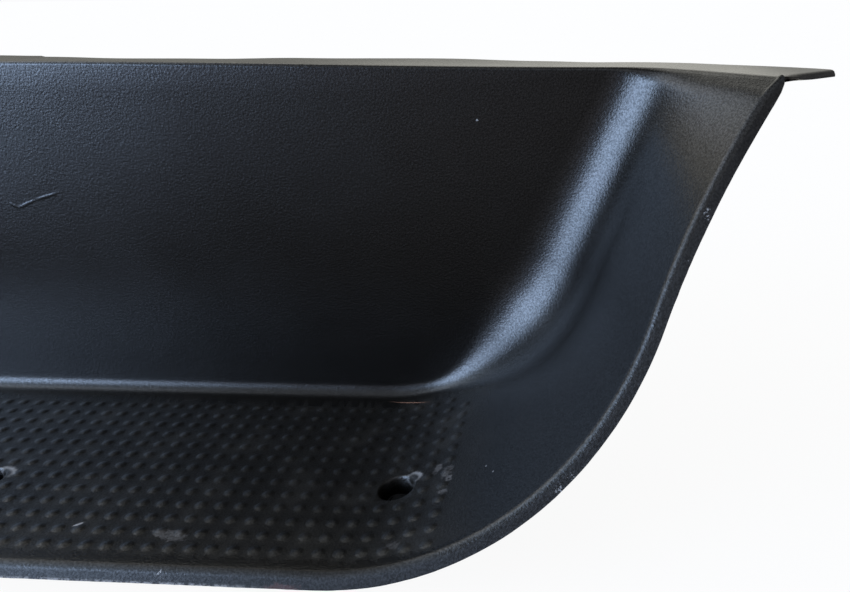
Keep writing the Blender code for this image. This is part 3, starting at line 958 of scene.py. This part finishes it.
def lip_colour(g, colour, lip):
    """A dull face on the lip, with groups of pale chips."""
    colour = g.mix(g.ramp(lip, 0.8, 1.0, 0.0, 0.5), colour, DULL_LIP)
    chips = g.ramp(g.noise(420.0, 4.0, seed=5.0, roughness=0.65), 0.64, 0.74)
    groups = g.ramp(g.noise(26.0, 2.0, seed=8.0), 0.54, 0.68)
    chips = g.times(g.times(chips, groups), g.ramp(lip, 0.9, 1.0))
    return g.mix(chips, colour, CHIPPED)


def patches(g, marks, ragged):
    """Several marks of use as one: the strongest at each place."""
    return g.most([g.times(g.patch(centre, size, turn, ragged), strength)
                   for centre, size, turn, strength in marks])


def scuff_share(g):
    streaks = g.noise(420.0, 4.0, stretch=(1.0, 1.6, 1.0), seed=3.0, roughness=0.7)
    return g.times(patches(g, PALE_SCUFFS, 0.6), g.ramp(streaks, 0.30, 0.62))


def speck_and_glint_share(g, free_edge, lip):
    """Small pale spots: specks, chips of the lip and the scraped front edge, and two painted glints on the
    rims of the dishes.
    """
    specks_and_glints = patches(g, SPECKS, 0.4)
    speckle = g.ramp(g.noise(900.0, 3.0, seed=9.0, roughness=0.65), 0.53, 0.62)
    chipped = g.times(patches(g, LIP_CHIPS, 0.4), speckle)
    across = g.towards((1.0, 0.0, 0.0))
    begins, full, fades, ends = PALE_EDGE
    scraped = g.times(g.ramp(across, begins, full), g.ramp(across, ends, fades))
    scraped = g.times(scraped, g.ramp(g.times(free_edge, lip), 0.25, 0.95))
    scraped = g.times(scraped, g.ramp(g.wobble, 0.38, 0.60))
    specks_and_glints = g.math("MAXIMUM", specks_and_glints, g.math("MAXIMUM", chipped, scraped))
    # painted glints where the far rims of two dishes would catch the light
    for centre, size, turn, hollow, strength in PAINTED_DISH_GLINTS:
        rest = g.math("SUBTRACT", 1.0, g.patch(hollow, size, turn, 0.1))
        painted_glint = g.times(g.patch(centre, size, turn, 0.2), rest)
        specks_and_glints = g.math("MAXIMUM", specks_and_glints, g.times(painted_glint, strength))
    return specks_and_glints


def plastic_roughness(g, additions):
    """The plastic's own uneven sheen, and what each share adds to it."""
    roughness = g.ramp(g.noise(14.0, 3.0, seed=4.0), 0.3, 0.7, 0.22, 0.27)
    for share, most in additions:
        roughness = g.math("ADD", roughness, g.times(share, most))
    return roughness


def plastic_normal(g):
    """Moulded grain, a slow waviness and the crease in the riser."""
    grain = g.math("ADD", g.noise(760.0, 3.0, roughness=0.7), g.times(g.cells(900.0), 0.4))
    normal = g.bump(grain, 0.00011, 1.0)
    normal = g.bump(g.noise(34.0, 2.0, seed=6.0), 0.0010, 0.12, normal)
    return g.bump(riser_crease(g), 0.00025, 0.5, normal)


def plastic_shine(g, field, smudge, dish, height, aside):
    """Strength of the reflections: broken up by the grain, weaker on dirt and in the dull upper corner."""
    shine = g.ramp(g.noise(1000.0, 2.0, seed=15.0, roughness=0.6), 0.36, 0.64, 0.24, 0.46)
    off_riser = g.ramp(g.towards((0.0, -1.0, 0.0)), 0.003, 0.016)
    upper_corner = g.times(off_riser, g.ramp(height, 0.10, 0.17))
    upper_corner = g.times(upper_corner, g.ramp(aside, 0.36, 0.32))
    for share, left in ((field, 0.90), (smudge, 0.85), (upper_corner, 0.45)):
        shine = g.times(shine, g.ramp(share, 0.0, 1.0, 1.0, left))
    return g.times(shine, g.ramp(dish, 0.2, 0.8, 1.0, 0.2))


def trim_plastic():
    """Black moulded plastic: fine grain, dusty tread, worn bump tops, scuffed and chipped lip; painted
    shade in the dishes and painted glints on their rims.
    """
    g = MaterialGraph("worn_black_plastic")
    crest, lip, field, free_edge, dish = [g.mark(name) for name in LOOK_MARKS]
    height = g.towards((0.0, 0.0, 1.0))
    aside = g.math("ABSOLUTE", g.towards((1.0, 0.0, 0.0)))
    colour = lip_colour(g, worn_colour(g, field, crest), lip)
    scuffs = scuff_share(g)
    colour = g.mix(scuffs, colour, SCUFFED)
    specks_and_glints = speck_and_glint_share(g, free_edge, lip)
    # pale specks, chips and scrapes, with painted glints on the rims of the dishes
    colour = g.mix(specks_and_glints, colour, PALE_SPECK_AND_GLINT)
    colour = g.mix(g.times(g.patch(*SCRATCH, 0.25), 0.9), colour, RUSTY)
    colour = g.mix(g.times(g.patch(*BURR, 0.5), 0.8), colour, TORN)
    colour = g.mix(g.patch(*DARK_MARK, 0.2), colour, BLACK)
    smudge = g.ramp(g.noise(75.0, 3.0, seed=16.0), 0.36, 0.62)
    smudge = g.times(g.patch(*SMUDGE, 0.12), smudge)
    colour = g.mix(g.times(smudge, 0.5), colour, SMUDGED)
    # painted shade darkens the hollow of each dish
    colour = g.mix(g.ramp(dish, 0.15, 0.7), colour, PAINTED_DISH_SHADE)
    marked = g.math("MAXIMUM", scuffs, specks_and_glints)
    trodden = g.times(g.ramp(height, 0.012, 0.001), g.ramp(lip, 0.0, 0.3))
    flange_tip = g.ramp(aside, 0.385, 0.420)
    roughness = plastic_roughness(g, (
        (field, 0.06), (g.ramp(lip, 0.8, 1.0), 0.16), (marked, 0.3), (smudge, 0.05),
        (free_edge, 0.05), (trodden, 0.16), (flange_tip, 0.10)))
    shine = plastic_shine(g, field, smudge, dish, height, aside)
    return g.finish(colour, roughness, plastic_normal(g), shine)


def nylon():
    g = MaterialGraph("black_nylon")
    colour = g.mix(g.noise(260.0, 3.0), (0.0020, 0.0020, 0.0020), (0.0060, 0.0058, 0.0055))
    roughness = g.ramp(g.noise(500.0, 2.0, seed=1.0), 0.3, 0.7, 0.48, 0.62)
    return g.finish(colour, roughness, g.bump(g.noise(1800.0, 2.0), 0.00005, 0.6), 0.2)


def rubber():
    g = MaterialGraph("washer_rubber")
    colour = g.mix(g.noise(300.0, 4.0), (0.010, 0.010, 0.010), (0.030, 0.029, 0.028))
    roughness = g.ramp(g.noise(400.0, 2.0, seed=1.0), 0.3, 0.7, 0.70, 0.88)
    return g.finish(colour, roughness, g.bump(g.noise(1400.0, 3.0), 0.00010, 0.7), 0.35)


def foam(name, dark, light, cell_scale):
    """Closed-cell foam with its cut cells open, with painted shade in their hollows."""
    g = MaterialGraph(name)
    cells = g.cells(cell_scale)
    # painted shade in the hollows of the cut cells
    colour = g.mix(g.ramp(cells, 0.10, 0.55), dark, light)
    colour = g.mix(g.ramp(g.noise(40.0, 3.0), 0.35, 0.75, 0.0, 0.35), colour, dark)
    normal = g.bump(g.ramp(cells, 0.05, 0.60), 0.0006, 0.9)
    return g.finish(colour, 0.94, normal, 0.20)


# ---------------- light, floor and camera
CAMERA_PLACE = Vector((0.3152, -0.3917, 0.2352))    # from the corner
CAMERA_FORWARD = Vector((-0.0570, 0.9195, -0.3890))
CAMERA_RIGHT = Vector((0.9982, 0.0592, -0.0063))
CAMERA_LENS = 30.75           # millimetres on a 36 mm sensor
CAMERA_SHIFT = -0.1426        # the view is the right part of a wider picture

# Parts of the sky: direction, cosines between which it fades in, and its light.
SKY = (
    ((-0.78, -0.59, 0.24), 0.915, 0.985, (8.0, 10.8, 15.6)),      # window low on the left
    ((-0.62, -0.78, 0.10), 0.905, 0.995, (0.84, 0.99, 1.33)),     # its glow on the floor
    ((-0.15, -0.98, 0.00), 0.93, 0.995, (0.40, 0.385, 0.42)),     # room in front
    ((-0.80, -0.25, 0.55), 0.935, 0.990, (2.5, 3.2, 4.2)),        # the window's upper part
    ((-0.68, 0.06, 0.73), 0.920, 0.985, (1.9, 2.1, 2.4)),         # light high on the left
    ((-0.76, 0.30, 0.58), 0.91, 0.99, (0.95, 0.92, 0.84)),        # its dim edge
    ((-0.12, -0.55, 0.82), 0.78, 0.96, (0.68, 0.73, 0.82)),       # ceiling
    ((-0.48, 0.78, 0.40), 0.80, 0.97, (0.26, 0.26, 0.23)),        # wall behind
    ((-0.30, 0.64, 0.70), 0.93, 0.985, (1.50, 1.50, 1.40)),       # top of the wall behind
    ((0.28, 0.96, 0.08), 0.76, 0.975, (0.92, 0.91, 0.83)),        # wall behind, low on the right
    ((0.85, -0.20, 0.45), 0.70, 0.95, (0.48, 0.49, 0.51)),        # room on the right
)
SKY_GROUND = (0.110, 0.107, 0.104)  # light from every other direction
BACKDROP = (0.96, 0.96, 0.97)       # what the camera sees of the sky
FLOOR_GLOW = 0.93                   # paleness of the floor before any light falls on it
FLOOR_PAINT = ((0.055, 0.055, 0.055), (0.060, 0.060, 0.060))
FLOOR_RADIUS = 30.0
FLOOR_GAP = 0.0005                  # how far the floor lies below the lowest point


def build_camera():
    data = bpy.data.cameras.new("camera")
    data.sensor_width = 36.0
    data.lens = CAMERA_LENS
    data.shift_x = CAMERA_SHIFT
    camera = bpy.data.objects.new("camera", data)
    bpy.context.scene.collection.objects.link(camera)
    forward = CAMERA_FORWARD.normalized()
    up = CAMERA_RIGHT.cross(forward).normalized()
    right = forward.cross(up)
    camera.matrix_world = Matrix.Translation(CORNER + CAMERA_PLACE) @ Matrix(
        (right, up, -forward)).transposed().to_4x4()
    bpy.context.scene.camera = camera


def build_world():
    """Plain white to the camera; to the surfaces soft lights in a dim room, the brightest on the left."""
    world = bpy.data.worlds.new("studio")
    bpy.context.scene.world = world
    world.use_nodes = True
    world.node_tree.nodes.clear()
    g = Graph(world.node_tree, "Generated")
    colour = SKY_GROUND
    for direction, low, high, light in SKY:
        colour = g.mix(g.ramp(g.towards(direction), low, high), colour, light, "ADD")
    camera_ray = g.node("LightPath").outputs["Is Camera Ray"]
    background = g.node("Background")
    g.feed(background.inputs["Color"], g.mix(camera_ray, colour, BACKDROP))
    output = g.node("OutputWorld")
    g.tree.links.new(background.outputs[0], output.inputs["Surface"])


def build_floor():
    bm = bmesh.new()
    bmesh.ops.create_circle(bm, cap_ends=True, segments=96, radius=FLOOR_RADIUS)
    mesh = bpy.data.meshes.new("floor")
    bm.to_mesh(mesh)
    bm.free()
    g = MaterialGraph("floor_paint")
    pale = g.mix(g.noise(3.0, 2.0), *FLOOR_PAINT)
    g.feed(g.shader.inputs["Emission Color"], (FLOOR_GLOW, FLOOR_GLOW, FLOOR_GLOW))
    g.feed(g.shader.inputs["Emission Strength"], 1.0)
    floor = link("floor", mesh, g.finish(pale, 0.8, None, 0.0))
    for ray in ("glossy", "diffuse", "shadow", "transmission"):
        setattr(floor, "visible_" + ray, False)
    floor.location = (0.0, 0.0, CAD_BOUNDS[0].z - FLOOR_GAP)


# ---------------- assembly
build_shell(trim_plastic())
build_foam()
build_floor()
build_world()
build_camera()

finishes = {"tread_rivet_sleeve": nylon(), "tread_rivet_pin": nylon(), "sealing_washer": rubber()}
for name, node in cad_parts.items():
    for prefix, material in finishes.items():
        if name.startswith(prefix):
            for slot in node.material_slots:
                slot.material = material

bpy.context.scene.view_settings.view_transform = "Standard"
